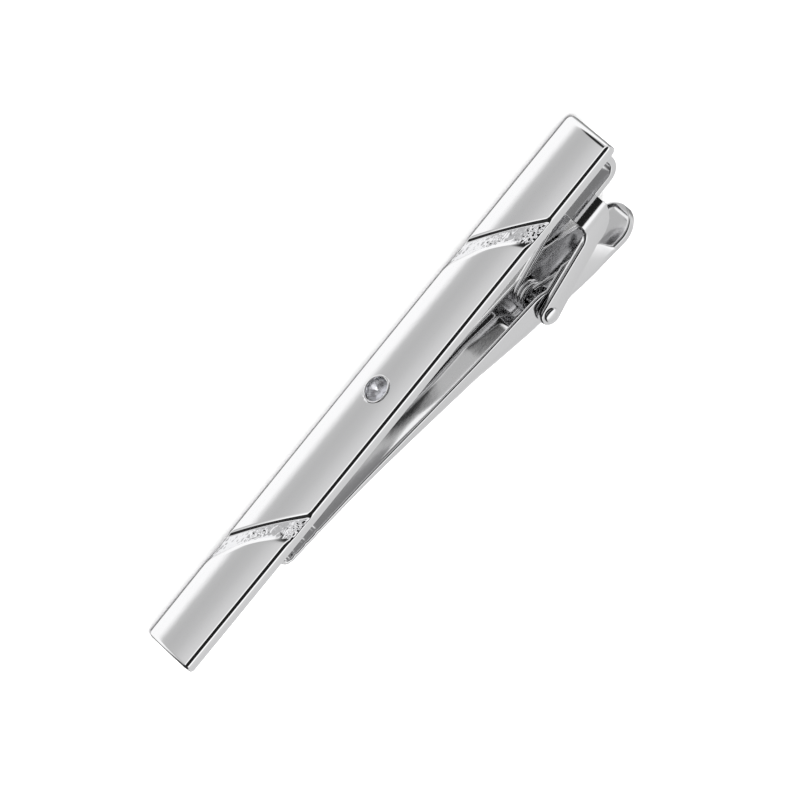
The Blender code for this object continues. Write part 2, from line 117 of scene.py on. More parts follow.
# Hinge
PIN_ALONG = 14.35
PIN_DEPTH = 7.3
PIN_RADIUS = 0.45
PIN_HEAD_RADIUS = 0.72
EAR_OUTER = 2.5
HEAD_SEAT = 0.03
HEAD_EDGE = 0.08
HEAD_BREAK = 0.03
HEAD_HEIGHT = 0.32
EAR_INNER = 1.85
EAR_SHOULDER = 1.5
EAR_HEEL = 2.8
BOSS_RADIUS = 1.05
BRACKET_SHEET = 0.65
BEND_RADIUS = 1.20
BEND_LAP = 0.08
BEND_INSET = 0.004
INNER_BEND = 0.10
RIM_ROUND = 0.20
RIM_GROWTH = 0.35
WEB_RIM = 0.06
NECK_RIM = 0.12
NECK_CENTRE = 26.6
NECK_RADIUS = 1.70
NECK_HALF = 1.65
LEAF_END = 17.6
TONGUE_LENGTH = 0.8
TONGUE_INSET = 0.01
SOLDER_FILM = 0.03
WEB_FRONT = 21.9
WEB_HEEL = 24.85
WEB_OUTER_DEPTH = 3.43

# Clamp arm; places along it count from the pin, negative towards the tip
SHEET = 0.40
JAW_REACH = 31.35
JAW_HALF = 1.35
JAW_STANDOFF = 2.35
JAW_TIP_GAP = 0.08
JAW_POWER = 7.0
LIP_RADIUS = 0.45
# Share of the lip's straight run, and how much narrower each side is there
LIP_END = ((1.0, 0.22), (0.96, 0.12), (0.88, 0.03), (0.75, 0.0), (0.5, 0.0), (0.25, 0.0))
LIP_BACK = 0.15
RIB_COUNT = 3
RIB_PITCH = 1.35
RIB_WIDTH = 0.62
RIB_HEIGHT = 0.10
RIB_START = 1.05
TROUGH_START = -18.75
DISH_FULL = -10.35
DISH_HOLLOW = 0.60
DISH_DEPTH = 2.30
DISH_POWER = 1.6
DISH_FROM = 0.10
DISH_SPAN = 0.85
FLOOR_LEAST = 0.03
FLOOR_TURN = -1.7
FLOOR_EASE = 2.5
BOX_PLACES = (-6.95, -3.1, -2.3)
BOX_SHARES = (0.0, 0.28, 1.0)
HOLLOW_LEAST = 0.1
HOLLOW_CLOSING = 0.5
HOLLOW_SOFT = 0.18
HOLLOW_SOFT_SHARE = 0.4
SHOULDER = -21.35
SHOULDER_LENGTH = 14.0
CHEEK_HALF = 1.75
CHEEK_ABOVE_PIN = 1.90
CHEEK_PLACES = (0.0, 0.8, 1.4, 3.9, 5.4)
CHEEK_FALLS = (0.0, 0.17, 0.48, 0.0, 0.6)
CHEEK_LENGTH = 7.3
CHEEK_BLEND = 0.6
CHEEK_END_ABOVE_PIN = 0.50
FLOOR_BELOW_PIN = 1.58
THUMB_REACH = 11.35
THUMB_HALF = 2.35
THUMB_DEPTH = 1.80
THUMB_RIM = 0.85
THUMB_TIP_HALF = 0.35
THUMB_END = 0.62
THUMB_FROM = 2.5
THUMB_OVER = 2.5
WING_START = 3.9
WING_FROM = 1.2
WING_OVER = 2.7
WING_BELOW = 0.05
EDGE_SOFT = 0.19
# How square the arm's outside and its hollow are: places along it, and the power at each
OUTER_POWERS = ((-JAW_REACH, TROUGH_START, -8.0, -2.6, THUMB_REACH), (JAW_POWER, 5.0, 3.6, 7.0, 7.0))
INNER_POWERS = ((TROUGH_START, -14.0, -11.5, -8.0, -2.6, THUMB_REACH), (2.0, 2.4, 5.0, 5.0, 9.0, 6.0))

# Torsion spring
WIRE_RADIUS = 0.21
COIL_RADIUS = 1.25
COIL_SHIFT = (0.20, -0.49)
COIL_TURNS = 3.0
COIL_PITCH = 0.50
SPRING_GAP = 0.05
WEB_LEG = 0.5
THUMB_LEG = 6.6
WIRE_TIP = 0.8

# Camera: angles in degrees, aim and distance in millimetres
VIEW_RISE = 44.0
VIEW_SWING = 2.4
VIEW_ROLL = 50.9521
VIEW_LENS = 417.6
VIEW_DISTANCE = 800.0
AIM_SIDE = -0.52
AIM_ACROSS = 1.30

# Tent: degrees up from straight ahead of the bar's face, going round behind it, and the brightness there
TENT = ((-180, 0.80), (-165, 0.70), (-150, 0.28), (-118, 0.26), (-100, 0.55), (-84, 1.10), (-53, 1.10),
        (-49, 0.57), (-44, 0.53), (-38, 0.57), (-30, 0.72), (-22, 0.80), (-12, 1.20), (-3, 1.20),
        (4, 0.015), (82, 0.015), (90, 1.20), (112, 1.15), (126, 0.74), (145, 0.68), (165, 0.70), (180, 0.80))
# Ends of the tent, as sines of the angle towards the hinge end (negative) or the free end
PALE_END = (-0.99, -0.955)
PALE_LEVEL = 0.72
DARK_END = (0.66, 0.78)
DARK_LEVEL = 0.03
# A dark card low in front: its edge and core in degrees from its middle
CARD_TOWARDS = (-0.35, -0.72, -0.55)
CARD_ANGLES = (14, 9)
CARD_LEVEL = 0.04
SWEEP_HALF = 1500.0


def linear(hex_colour):
    """An sRGB hex colour as linear red, green, blue and alpha."""
    parts = [int(hex_colour[i:i + 2], 16) / 255 for i in (1, 3, 5)]
    return [c / 12.92 if c <= 0.04045 else ((c + 0.055) / 1.055) ** 2.4 for c in parts] + [1.0]


def node(tree, kind, inputs=None, links=None, **settings):
    """Add a node: set its own settings and input values, and link other sockets into it."""
    made = tree.nodes.new(kind)
    for key, value in settings.items():
        setattr(made, key, value)
    for key, value in (inputs or {}).items():
        made.inputs[key].default_value = value
    for key, source in (links or {}).items():
        tree.links.new(source, made.inputs[key])
    return made


def empty_material(name):
    """A material with a Principled shader joined to its output."""
    made = bpy.data.materials.new(name)
    made.use_nodes = True
    return made, made.node_tree, made.node_tree.nodes["Principled BSDF"]


# ------------------------------------------------------------------ surfaces

def place(along, depth, up):
    """Points in metres: along the bar to the hinge end, behind its back face, and up, in millimetres."""
    along, depth, up = np.broadcast_arrays(along, depth, up)
    return np.stack([-along, depth, up], axis=-1) * MM


def grid_faces(rows, columns):
    """Four-sided faces of a grid whose columns join round into a loop."""
    row = np.arange(rows - 1)[:, None] * columns
    column = np.arange(columns)[None, :]
    after = (column + 1) % columns
    corners = (row + column, row + after, row + columns + after, row + columns + column)
    return np.stack(corners, axis=-1).reshape(-1, 4)


def eased(share):
    """A share held between 0 and 1, with a slow start and a slow end: 3 s^2 - 2 s^3."""
    share = np.clip(share, 0, 1)
    return share * share * (3 - 2 * share)


def volume(points, faces):
    """Signed volume of a closed mesh: positive if its faces point outwards."""
    total = 0.0
    for face in faces:
        corners = points[list(face)]
        fan = np.cross(corners[1:-1], corners[2:])
        total += float((fan @ corners[0]).sum())
    return total


def solid(grid, poles=(None, None)):
    """A closed skin from a grid of loops. Each end closes flat, or in a point if a pole is given."""
    rows, columns = grid.shape[:2]
    points = grid.reshape(-1, 3)
    faces = grid_faces(rows, columns).tolist()
    for first, pole in ((0, poles[0]), ((rows - 1) * columns, poles[1])):
        ring = list(range(first, first + columns))
        if pole is None:
            faces.append(ring if first else ring[::-1])
            continue
        tip = len(points)
        points = np.vstack([points, pole])
        pairs = zip(ring, ring[1:] + ring[:1])
        faces += [[a, b, tip] if first else [b, a, tip] for a, b in pairs]
    if volume(points, faces) < 0:
        faces = [face[::-1] for face in faces]
    return points, faces


def piece(name, skins, body, cad_node, finish, sharp=35):
    """Make one object from closed skins; it rides on a body and stands for a CAD node."""
    points = np.vstack([skin[0] for skin in skins])
    faces = []
    start = 0
    for skin_points, skin_faces in skins:
        faces += [[corner + start for corner in face] for face in skin_faces]
        start += len(skin_points)
    mesh = bpy.data.meshes.new(name)
    mesh.from_pydata(points, [], faces)
    mesh.materials.append(finish)
    mesh.shade_smooth()
    if sharp:
        mesh.set_sharp_from_angle(angle=radians(sharp))
    made = bpy.data.objects.new(name, mesh)
    bpy.context.scene.collection.objects.link(made)
    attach(made, body)
    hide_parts(cad_node)
    return made


def turned(profile, placed, sides):
    """A profile of (radius, station) turned about an axis; it starts and ends on the axis."""
    angles = np.linspace(0, 2 * pi, sides, endpoint=False)
    radius = np.array([p[0] for p in profile[1:-1]])[:, None]
    station = np.array([p[1] for p in profile[1:-1]])[:, None]
    grid = placed(radius * np.cos(angles), radius * np.sin(angles), station)
    poles = [placed(np.zeros(1), np.zeros(1), np.array([profile[i][1]])) for i in (0, -1)]
    return solid(grid, poles)


def about_stone(x, y, station):
    """Places round the stone's axis."""
    return place(x, station, y)


def about_pin(x, y, station):
    """Places round the hinge pin's axis."""
    return place(PIN_ALONG + x, PIN_DEPTH + y, station)


# ----------------------------------------------------------------- materials

def worked_metal(name, colour, marks_per_mm, marks, gloss, relief=None):
    """A metal whose roughness, and relief as (strength, height in millimetres), follow its working marks."""
    made, tree, shader = empty_material(name)
    shader.inputs["Base Color"].default_value = linear(colour)
    shader.inputs["Metallic"].default_value = 1.0
    where = node(tree, "ShaderNodeTexCoord")
    worked = node(tree, "ShaderNodeTexNoise", {"Scale": marks_per_mm / MM, **marks},
                  {"Vector": where.outputs["Object"]})
    rough = node(tree, "ShaderNodeMapRange", {"To Min": gloss[0], "To Max": gloss[1]},
                 {"Value": worked.outputs["Fac"]})
    tree.links.new(rough.outputs["Result"], shader.inputs["Roughness"])
    if relief:
        bump = node(tree, "ShaderNodeBump", {"Strength": relief[0], "Distance": relief[1] * MM},
                    {"Height": worked.outputs["Fac"]})
        tree.links.new(bump.outputs["Normal"], shader.inputs["Normal"])
    return made


def polished_rhodium():
    """Rhodium plate on polished brass: a hard white mirror, faintly rippled by the buffing wheel.

    The wheel leaves a soft wave about every 1.1 mm.
    """
    return worked_metal("rhodium_plate_polished", "#F0F0F1", 0.9, {"Detail": 2.0}, (0.045, 0.09),
                        (0.012, 0.2))


def hammered_rhodium():
    """Rhodium plate on punched brass: small dull dimples that glitter from white to grey.

    The dimples themselves are in the mesh; this adds the punch's grain, about 0.2 mm.
    """
    return worked_metal("rhodium_plate_hammered", "#E8E8EA", 5.2, {"Detail": 3.0}, (0.06, 0.14), (0.25, 0.06))


def barrelled_stamping():
    """Nickel-rhodium plate on barrel-polished pressed steel: bright, slightly softer, with tumbling marks.

    The media leave marks about 0.7 mm across, with finer ones inside them.
    """
    return worked_metal("plated_stamping_barrelled", "#E9E9EA", 1.4, {"Detail": 4.0, "Roughness": 0.6},
                        (0.08, 0.18), (0.05, 0.1))


def drawn_wire():
    """Drawn spring steel wire, plated: bright, its gloss uneven every 0.4 mm or so as the die left it."""
    return worked_metal("spring_wire_drawn", "#DEDEDF", 2.6, {"Detail": 3.0}, (0.05, 0.12))


def cut_glass():
    """Machine-cut lead glass: clear, hard facet edges, bright flashes from the foil below."""
    made, _, shader = empty_material("cut_glass_polished")
    shader.inputs["Base Color"].default_value = linear("#FCFDFF")
    shader.inputs["Roughness"].default_value = 0.0
    shader.inputs["IOR"].default_value = 1.58
    shader.inputs["Transmission Weight"].default_value = 1.0
    return made


def silver_foil():
    """Silvered back of a cut stone: crinkled foil behind the glass, with painted sparkle from white to grey.

    Painted glints and painted shade: the base colour is split into patches about 0.4 mm across, each of one
    tone, white or grey, standing in for creases catching or missing the light.
    """
    made, tree, shader = empty_material("silver_foil_backing")
    where = node(tree, "ShaderNodeTexCoord")
    cells = node(tree, "ShaderNodeTexVoronoi", {"Scale": 2.6 / MM}, {"Vector": where.outputs["Object"]})
    tone = node(tree, "ShaderNodeSeparateColor", links={"Color": cells.outputs["Color"]})
    dark = node(tree, "ShaderNodeMapRange", {"From Min": 0.05, "From Max": 0.30},
                {"Value": tone.outputs["Red"]})
    # Painted glint and painted shade: grey and white patches of the base colour stand in for foil creases
    # catching or missing the light
    mixed = node(tree, "ShaderNodeMix", {6: linear("#77777C"), 7: linear("#F2F2F5")},
                 {0: dark.outputs["Result"]}, data_type="RGBA")
    tree.links.new(mixed.outputs[2], shader.inputs["Base Color"])
    shader.inputs["Metallic"].default_value = 1.0
    shader.inputs["Roughness"].default_value = 0.40
    return made


# ----------------------------------------------------------------- front bar

def band_edges(share, centre):
    """Start and end of a slanting band at a place from -1 to 1 across: a curve, then a straight line."""
    middle = centre + BAND_SWEEP * share / 2 - BAND_FLARE * share ** 2 / 2
    half = (BAND_WIDTH + BAND_FLARE * share ** 2) / 2
    return middle - half, middle + half


def dimples(along, up):
    """Punch marks: a sum of plane waves in seeded directions, scaled and cut off to lie from -1 to 1."""
    draw = np.random.default_rng(7)
    total = np.zeros(np.broadcast(along, up).shape)
    for _ in range(DIMPLE_WAVES):
        turn = draw.uniform(0, pi)
        wave = 2 * pi / draw.uniform(*DIMPLE_LENGTHS)
        phase = draw.uniform(0, 2 * pi)
        total += np.sin(wave * (along * cos(turn) + up * sin(turn)) + phase)
    return np.clip(total / DIMPLE_SCALE, -1, 1)


def bar_columns():
    """The section as two arrays, place across and depth, round one loop from the back's near edge."""
    flat_half = HALF_WIDTH - EDGE_ROUND
    slope = atan(2 * CROWN / flat_half)
    turn = np.linspace(0, pi / 2 - slope, 7)
    start = flat_half + EDGE_ROUND * sin(slope)
    shoulder = -WALL - CROWN * (1 - (start / flat_half) ** 2)
    centre = shoulder + EDGE_ROUND * cos(slope)
    round_up = flat_half + EDGE_ROUND * np.cos(turn)
    round_depth = centre - EDGE_ROUND * np.sin(turn)
    front_up = np.linspace(start, -start, 75)[1:-1]
    front_depth = -WALL - CROWN * (1 - (front_up / flat_half) ** 2)
    back_up = HALF_WIDTH - BACK_ROUND * np.array([1.0, 0.3, 0.0])
    back_depth = -BACK_ROUND * np.array([0.0, 0.3, 1.0])
    up = np.concatenate([back_up, round_up, front_up, -round_up[::-1], -back_up[::-1]])
    depth = np.concatenate([back_depth, round_depth, front_depth, round_depth[::-1], back_depth[::-1]])
    return up, depth


def bar_rows():
    """Rows along the bar, as (knot interval, share of it): dense in the bands, at the ends and the stone."""
    ends = np.linspace(0, 1, 40)
    band = np.append(np.linspace(0, 0.90, 54), [0.925, 0.95, 0.975])
    middle = np.concatenate([np.linspace(0, 0.42, 40)[:-1], np.linspace(0.42, 0.58, 90),
                             np.linspace(0.58, 1, 40)[1:-1]])
    stretches = (ends[:-1], band, middle, band, ends)
    return np.array([(interval, share) for interval, shares in enumerate(stretches) for share in shares])


def band_fall(share):
    """Depth of the band's floor: an eased slope at its start, a slow fall, and a steep wall at its end."""
    wall = np.clip((1 - share) / BAND_WALL, 0, 1)
    return (BAND_STEP * eased(share / BAND_EASE) + (1 - BAND_STEP) * share) * wall


def hammering(share, across, along, up):
    """Depth of the punch marks: dimples in clumps across the band, fading along it and at both its edges."""
    start, end = HAMMERED
    level = np.clip((share - start) / HAMMERED_EASE[0], 0, 1)
    level = level * np.clip((end - share) / HAMMERED_EASE[1], 0, 1)
    clumps = 0.5 + 0.5 * np.cos(2 * pi * (across + CLUMP_SHIFT) / CLUMP_SPACING)
    fading = np.clip(1.25 - share + np.maximum(across, 0), 0.2, 1)
    patches = CLUMP_LEAST + (1 - CLUMP_LEAST) * clumps ** 2 * fading
    return level * DIMPLE_DEPTH * patches * dimples(along, up)


def make_bar(polished, hammered):
    """Section carried along the bar; its rows lean so that they run along the bands' edges."""
    up, depth = bar_columns()
    rows = bar_rows()
    interval = rows[:, 0].astype(int)
    share = rows[:, 1][:, None]
    across = np.clip(up / HALF_WIDTH, -1, 1)
    start = -HALF_LENGTH + EDGE_ROUND
    end = HALF_LENGTH - END_ROUND
    edges = [edge for centre in BAND_CENTRES for edge in band_edges(across, centre)]
    knots = np.stack([np.full_like(across, start), *edges, np.full_like(across, end)])
    along = knots[interval] + (knots[interval + 1] - knots[interval]) * share
    high = up * (1 - (BARREL / HALF_WIDTH) * (along / HALF_LENGTH) ** 2)
    in_band = np.isin(interval, BAND_INTERVALS)
    pressed = band_fall(share) * BAND_DEPTH + hammering(share, across, along, up)
    pocket = np.clip((CUP_RADIUS - POCKET_LAP - np.hypot(along, high)) / POCKET_WALL, 0, 1)
    front = np.clip((-depth - FORMED_FROM) / FORMED_OVER, 0, 1)
    deep = depth + (np.where(in_band[:, None], pressed, 0.0) + pocket * (CUP_SINK + POCKET_BELOW)) * front
    turns = np.radians([90, 75, 60, 45, 30, 15])
    begin = [end_loop(up, depth, start, -EDGE_ROUND, EDGE_ROUND, angle) for angle in turns]
    close = [end_loop(up, depth, end, END_ROUND, END_ROUND * END_FALL, angle) for angle in turns[::-1]]
    grid = np.concatenate([np.stack(begin), place(along, deep, high), np.stack(close)])
    bar = piece("bar_domed", [solid(grid)], "bar", "front_bar", polished, sharp=None)
    bar.data.materials.append(hammered)
    mask = np.zeros((len(grid) - 1, len(up)), dtype=int)
    dulled = (in_band & (rows[:, 1] > DULLED[0]) & (rows[:, 1] < DULLED[1]))[:-1]
    mask[len(begin):len(begin) + len(dulled)][np.ix_(dulled, front > 0.5)] = 1
    bar.data.polygons.foreach_set("material_index", np.concatenate([mask.reshape(-1), [0, 0]]))
    return bar


def end_loop(up, depth, base, reach, fall, angle):
    """The section part way round a rounded end: moved outwards, its front lowered and its sides drawn in."""
    share = 1 - cos(angle)
    scale = 1 - (BARREL + EDGE_ROUND * share) / HALF_WIDTH
    lowered = np.where(depth < -END_BACK, np.minimum(depth + fall * share, -END_LEAST), depth)
    return place(base + reach * sin(angle), lowered, up * scale)


# -------------------------------------------------------------- stone setting

def make_cup(finish):
    """A turned cup: straight wall, a lip rubbed over the stone, and a bright floor."""
    front = -(WALL + CROWN)
    base = front + CUP_SINK
    lip = front - CUP_STANDING
    middle = CUP_RADIUS - CUP_WALL / 2
    turn = np.radians(np.linspace(0, 180, 9))
    rim = [(middle + CUP_WALL / 2 * cos(a), lip + CUP_LIP - CUP_LIP * sin(a)) for a in turn]
    floor = [(CUP_RADIUS - CUP_WALL, base - CUP_FLOOR), (0, base - CUP_FLOOR_MIDDLE)]
    profile = [(0, base), (CUP_RADIUS, base)] + rim + floor
    cup = piece("stone_cup_rubbed", [turned(profile, about_stone, 96)], "bar", "stone_cup", finish)
    return cup


def stone_ring(radius, angles, station):
    """Corners of facets, on a circle about the stone's axis."""
    return about_stone(radius * np.cos(angles), radius * np.sin(angles), station)


def make_stone(finish, foil):
    """A round brilliant: table, 8 stars, 8 kites, 16 upper halves, girdle, 16 lower halves and 8 mains."""
    front = -(WALL + CROWN)
    girdle = CUP_RADIUS - CUP_WALL - STONE_PLAY
    top = front - CUP_STANDING
    low = top + STONE_CROWN
    belt = low + GIRDLE_EDGE
    culet = min(belt + STONE_PAVILION, front + CUP_SINK - CULET_ABOVE)
    eight = np.arange(8) * pi / 4
    sixteen = np.arange(16) * pi / 8
    points = np.vstack([stone_ring(TABLE_SHARE * girdle, eight, top),
                        stone_ring(STAR_SHARE * girdle, eight + pi / 8, top + STONE_CROWN * STAR_FALL),
                        stone_ring(girdle, sixteen, low),
                        stone_ring(girdle, sixteen, belt),
                        stone_ring(HALVES_SHARE * girdle, eight + pi / 8, belt + (culet - belt) * HALVES_FALL),
                        about_stone(np.zeros(1), np.zeros(1), np.array([culet]))])
    star, upper, lower, half, tip = 8, 16, 32, 48, 56
    faces = [list(range(8))]
    for k in range(8):
        after, before = (k + 1) % 8, (k - 1) % 8
        near, mid, far = 2 * k, 2 * k + 1, (2 * k + 2) % 16
        faces += [[k, after, star + k], [k, star + k, upper + near, star + before],
                  [star + k, upper + near, upper + mid], [star + k, upper + mid, upper + far],
                  [upper + near, lower + near, lower + mid, upper + mid],
                  [upper + mid, lower + mid, lower + far, upper + far],
                  [half + k, lower + near, lower + mid], [half + k, lower + mid, lower + far],
                  [tip, half + k, lower + near, half + before]]
    skins = [(points, outward(points, faces))]
    stone = piece("stone_brilliant", skins, "bar", "crystal", finish, sharp=None)
    stone.data.shade_flat()
    stone.data.materials.append(foil)
    foiled = [min(face) >= lower for face in faces]
    stone.data.polygons.foreach_set("material_index", np.array(foiled, dtype=int))
    return stone


def outward(points, faces):
    """Turn each face of a convex shape outwards from its middle."""
    middle = points.mean(axis=0)
    fixed = []
    for face in faces:
        corners = points[face]
        normal = np.cross(corners[1] - corners[0], corners[2] - corners[0])
        fixed.append(face if normal @ (corners.mean(axis=0) - middle) > 0 else face[::-1])
    return fixed


# --------------------------------------------------------------------- hinge

def arc(centre, radius, start, end, steps):
    """Points of an arc, from one angle to another in degrees."""
    angles = np.radians(np.linspace(start, end, steps))
    return np.stack([centre[0] + radius * np.cos(angles), centre[1] + radius * np.sin(angles)], -1)


def tangent(outside, centre, radius, side):
    """Angle in degrees at which a line from an outside point touches a circle."""
    x, y = outside[0] - centre[0], outside[1] - centre[1]
    return np.degrees(np.arctan2(y, x) + side * np.arccos(radius / np.hypot(x, y)))


def plate(outline, radius, low, high, placed):
    """An outline given a thickness, with its rim rounded: the outline drawn in along a quarter circle."""
    ahead = np.roll(outline, -1, axis=0)
    run = ahead - np.roll(outline, 1, axis=0)
    normal = np.stack([run[:, 1], -run[:, 0]], -1) / np.hypot(run[:, 0], run[:, 1])[:, None]
    normal *= np.sign(np.sum(outline[:, 0] * ahead[:, 1] - ahead[:, 0] * outline[:, 1]))
    radius = np.broadcast_to(radius, len(outline))
    quarter = np.linspace(0, pi / 2, 6)
    inset = np.concatenate([1 - np.sin(quarter), 1 - np.cos(quarter)])[:, None] * radius
    rise = np.concatenate([1 - np.cos(quarter), np.zeros(6)])[:, None] * radius + low
    rise[6:] = high - (1 - np.sin(quarter))[:, None] * radius
    drawn = outline[None] - normal[None] * inset[..., None]
    return solid(placed(drawn[..., 0], drawn[..., 1], rise))


def ear_outline():
    """Side view of one ear: from the web's front edge to a round boss about the pin, and back to the heel."""
    pin = (PIN_ALONG, PIN_DEPTH)
    bent = BEND_RADIUS - BRACKET_SHEET
    shoulder = arc((WEB_FRONT - EAR_SHOULDER, WEB_OUTER_DEPTH), EAR_SHOULDER,
                   degrees(asin(bent / EAR_SHOULDER)), 75, 12)
    heel = arc((WEB_HEEL - EAR_HEEL, WEB_OUTER_DEPTH), EAR_HEEL, 95, degrees(asin(bent / EAR_HEEL)), 18)
    upper = tangent(shoulder[-1], pin, BOSS_RADIUS, -1) + 360
    boss = arc(pin, BOSS_RADIUS, upper, tangent(heel[0], pin, BOSS_RADIUS, 1), 36)
    return np.vstack([shoulder, boss, heel])


def channel_outline():
    """End view of the web and the start of both ears, with a round bend outside and a tight one inside."""
    low = WEB_OUTER_DEPTH - BRACKET_SHEET
    lap = low + BEND_RADIUS + BEND_LAP
    outer, inner = EAR_OUTER - BEND_INSET, EAR_INNER + BEND_INSET
    bend = arc((low + BEND_RADIUS, outer - BEND_RADIUS), BEND_RADIUS, 90, 180, 12)
    corner = arc((WEB_OUTER_DEPTH + INNER_BEND, inner - INNER_BEND), INNER_BEND, 180, 90, 5)
    half = np.vstack([[[WEB_OUTER_DEPTH, 0.0]], corner, [[lap, inner], [lap, outer]], bend, [[low, 0.0]]])
    return np.vstack([half, half[-2:0:-1] * (1, -1)])


def neck_outline():
    """Side view of the leaf under the bar, the round neck, and the tongue that joins the web."""
    middle = (NECK_CENTRE, SOLDER_FILM + NECK_RADIUS)
    outer = arc(middle, NECK_RADIUS, -90, 90, 30)
    inner = arc(middle, NECK_RADIUS - BRACKET_SHEET, 90, -90, 30)
    tongue = WEB_HEEL - TONGUE_LENGTH
    top = SOLDER_FILM + 2 * NECK_RADIUS - TONGUE_INSET
    low = SOLDER_FILM + 2 * NECK_RADIUS - BRACKET_SHEET + TONGUE_INSET
    return np.vstack([[[LEAF_END, SOLDER_FILM]], outer, [[tongue, top], [tongue, low]], inner,
                      [[LEAF_END, SOLDER_FILM + BRACKET_SHEET]]])


def make_bracket(finish):
    """The folded strip: leaf and neck, web with its bends, and two ears, each a plate with a rounded rim."""
    ear = ear_outline()
    rim = WEB_RIM + (RIM_ROUND - WEB_RIM) * eased((ear[:, 1] - ear[0, 1]) / RIM_GROWTH)
    channel = channel_outline()
    below = np.maximum(channel[:, 0] - WEB_OUTER_DEPTH, 0)
    front = WEB_FRONT - EAR_SHOULDER + np.sqrt(EAR_SHOULDER ** 2 - below ** 2)
    heel = WEB_HEEL - EAR_HEEL + np.sqrt(EAR_HEEL ** 2 - below ** 2)
    skins = [plate(ear, rim, EAR_INNER, EAR_OUTER, place),
             plate(ear, rim, -EAR_OUTER, -EAR_INNER, place),
             plate(channel, WEB_RIM, front, heel, lambda a, b, station: place(station, a, b)),
             plate(neck_outline(), NECK_RIM, -NECK_HALF, NECK_HALF, place)]
    made = piece("hinge_bracket_folded", skins, "bar", "hinge_bracket", finish, sharp=32)
    return made


def make_pin(finish):
    """A rivet: a straight shank and a low domed head outside each ear."""
    seat = EAR_OUTER + HEAD_SEAT
    dome = [(PIN_HEAD_RADIUS * cos(a), seat + HEAD_EDGE + (HEAD_HEIGHT - HEAD_EDGE) * sin(a))
            for a in np.radians(np.linspace(82, 0, 9))]
    under = [(PIN_HEAD_RADIUS, seat + HEAD_BREAK), (PIN_HEAD_RADIUS - HEAD_BREAK, seat), (PIN_RADIUS, seat)]
    half = dome + under
    profile = [(0, -(seat + HEAD_HEIGHT))] + [(r, -s) for r, s in half]
    profile += [(r, s) for r, s in reversed(half)] + [(0, seat + HEAD_HEIGHT)]
    pin = piece("hinge_rivet", [turned(profile, about_pin, 64)], "bar", "hinge_pin", finish)
    return pin


# ----------------------------------------------------------------- clamp arm

def thumb_half(reach):
    """Half width of the thumb plate: a slow flare, then a full round end."""
    start = THUMB_REACH - THUMB_HALF
    flare = np.interp(reach, [WING_START, start], [CHEEK_HALF, THUMB_HALF])
    beyond = np.maximum(reach - start, 0)
    round_end = np.sqrt(np.maximum(THUMB_HALF ** 2 - beyond ** 2, THUMB_TIP_HALF ** 2))
    return np.where(reach > start, round_end, flare)


def arm_half(reach):
    """Half width of the arm's upper part at a distance from the pin, negative towards the jaw's tip."""
    body = np.interp(reach, [SHOULDER, SHOULDER + SHOULDER_LENGTH], [JAW_HALF, CHEEK_HALF])
    blend = np.clip((reach - CHEEK_LENGTH) / CHEEK_BLEND, 0, 1)
    return body + (thumb_half(reach) - body) * blend


def arm_top(reach):
    """Depth of the arm's bar side: the jaw's straight line, the cheeks, and the thumb plate's rim."""
    rim = PIN_DEPTH + THUMB_DEPTH - THUMB_RIM
    places = [-JAW_REACH, *CHEEK_PLACES, CHEEK_LENGTH, CHEEK_LENGTH + CHEEK_BLEND]
    cheeks = [PIN_DEPTH - CHEEK_ABOVE_PIN + fall for fall in CHEEK_FALLS]
    return np.interp(reach, places, [JAW_STANDOFF, *cheeks, PIN_DEPTH - CHEEK_END_ABOVE_PIN, rim])


def arm_floor(reach):
    """Depth of the arm's outer side: it falls away from the jaw's line and runs under the coil."""
    bent = np.minimum(reach, FLOOR_TURN)
    growth = np.maximum((bent + JAW_REACH) / JAW_REACH - DISH_FROM, 0.0) / DISH_SPAN
    dished = arm_top(bent) + SHEET + FLOOR_LEAST + DISH_DEPTH * growth ** DISH_POWER
    deep = PIN_DEPTH + FLOOR_BELOW_PIN
    back = np.clip((reach - THUMB_FROM) / THUMB_OVER, 0, 1)
    under_coil = (deep - dished) * eased((reach - FLOOR_TURN) / FLOOR_EASE)
    return dished + under_coil + (PIN_DEPTH + THUMB_DEPTH - deep) * back


def arm_stations():
    """Distances of the sections from the pin: close over the ribs and round the thumb plate's end."""
    ribs = -JAW_REACH + RIB_START + RIB_PITCH * np.arange(RIB_COUNT)[:, None]
    ribs = (ribs + np.linspace(0, RIB_WIDTH, 9)[None, :]).reshape(-1)
    jaw = np.linspace(ribs[-1] + 0.2, -3.0, 70)
    cheeks = np.linspace(-2.8, THUMB_REACH - 0.7, 72)
    thumb = THUMB_REACH - THUMB_END * (1 - np.sin(np.linspace(0, pi / 2, 9)))
    return np.concatenate([[-JAW_REACH + LIP_RADIUS + SHEET], ribs, jaw, cheeks, thumb])


def rib_rise(reach):
    """Height of the gripping ribs across the jaw: a squared sine over each rib's width."""
    past = reach + JAW_REACH - RIB_START
    ribbed = (past > -0.01) & (past < RIB_PITCH * (RIB_COUNT - 1) + RIB_WIDTH + 0.01)
    wave = np.sin(pi * np.clip(past % RIB_PITCH / RIB_WIDTH, 0, 1)) ** 2
    return np.where(ribbed, wave, 0.0) * RIB_HEIGHT


def wing_drop(reach, top):
    """Drop of the outer skin's edge: it grows behind the pin until the thumb plate's rim runs level."""
    rim = PIN_DEPTH + THUMB_DEPTH - THUMB_RIM
    level = np.maximum(top, rim) + WING_BELOW - top
    return np.maximum(level * eased((reach - WING_FROM) / WING_OVER), EDGE_SOFT + 0.02)


def hollow_depth(reach, top, floor):
    """Depth of the hollow: a shallow dish along the jaw, which drops into a deep box round the coil."""
    dish = DISH_HOLLOW * eased((reach - TROUGH_START) / (DISH_FULL - TROUGH_START))
    boxed = np.interp(reach, BOX_PLACES, BOX_SHARES)
    closing = np.clip((THUMB_REACH - SHEET - reach) / HOLLOW_CLOSING, 0, 1)
    return (dish + (floor - SHEET - top - dish) * boxed) * np.sqrt(closing)


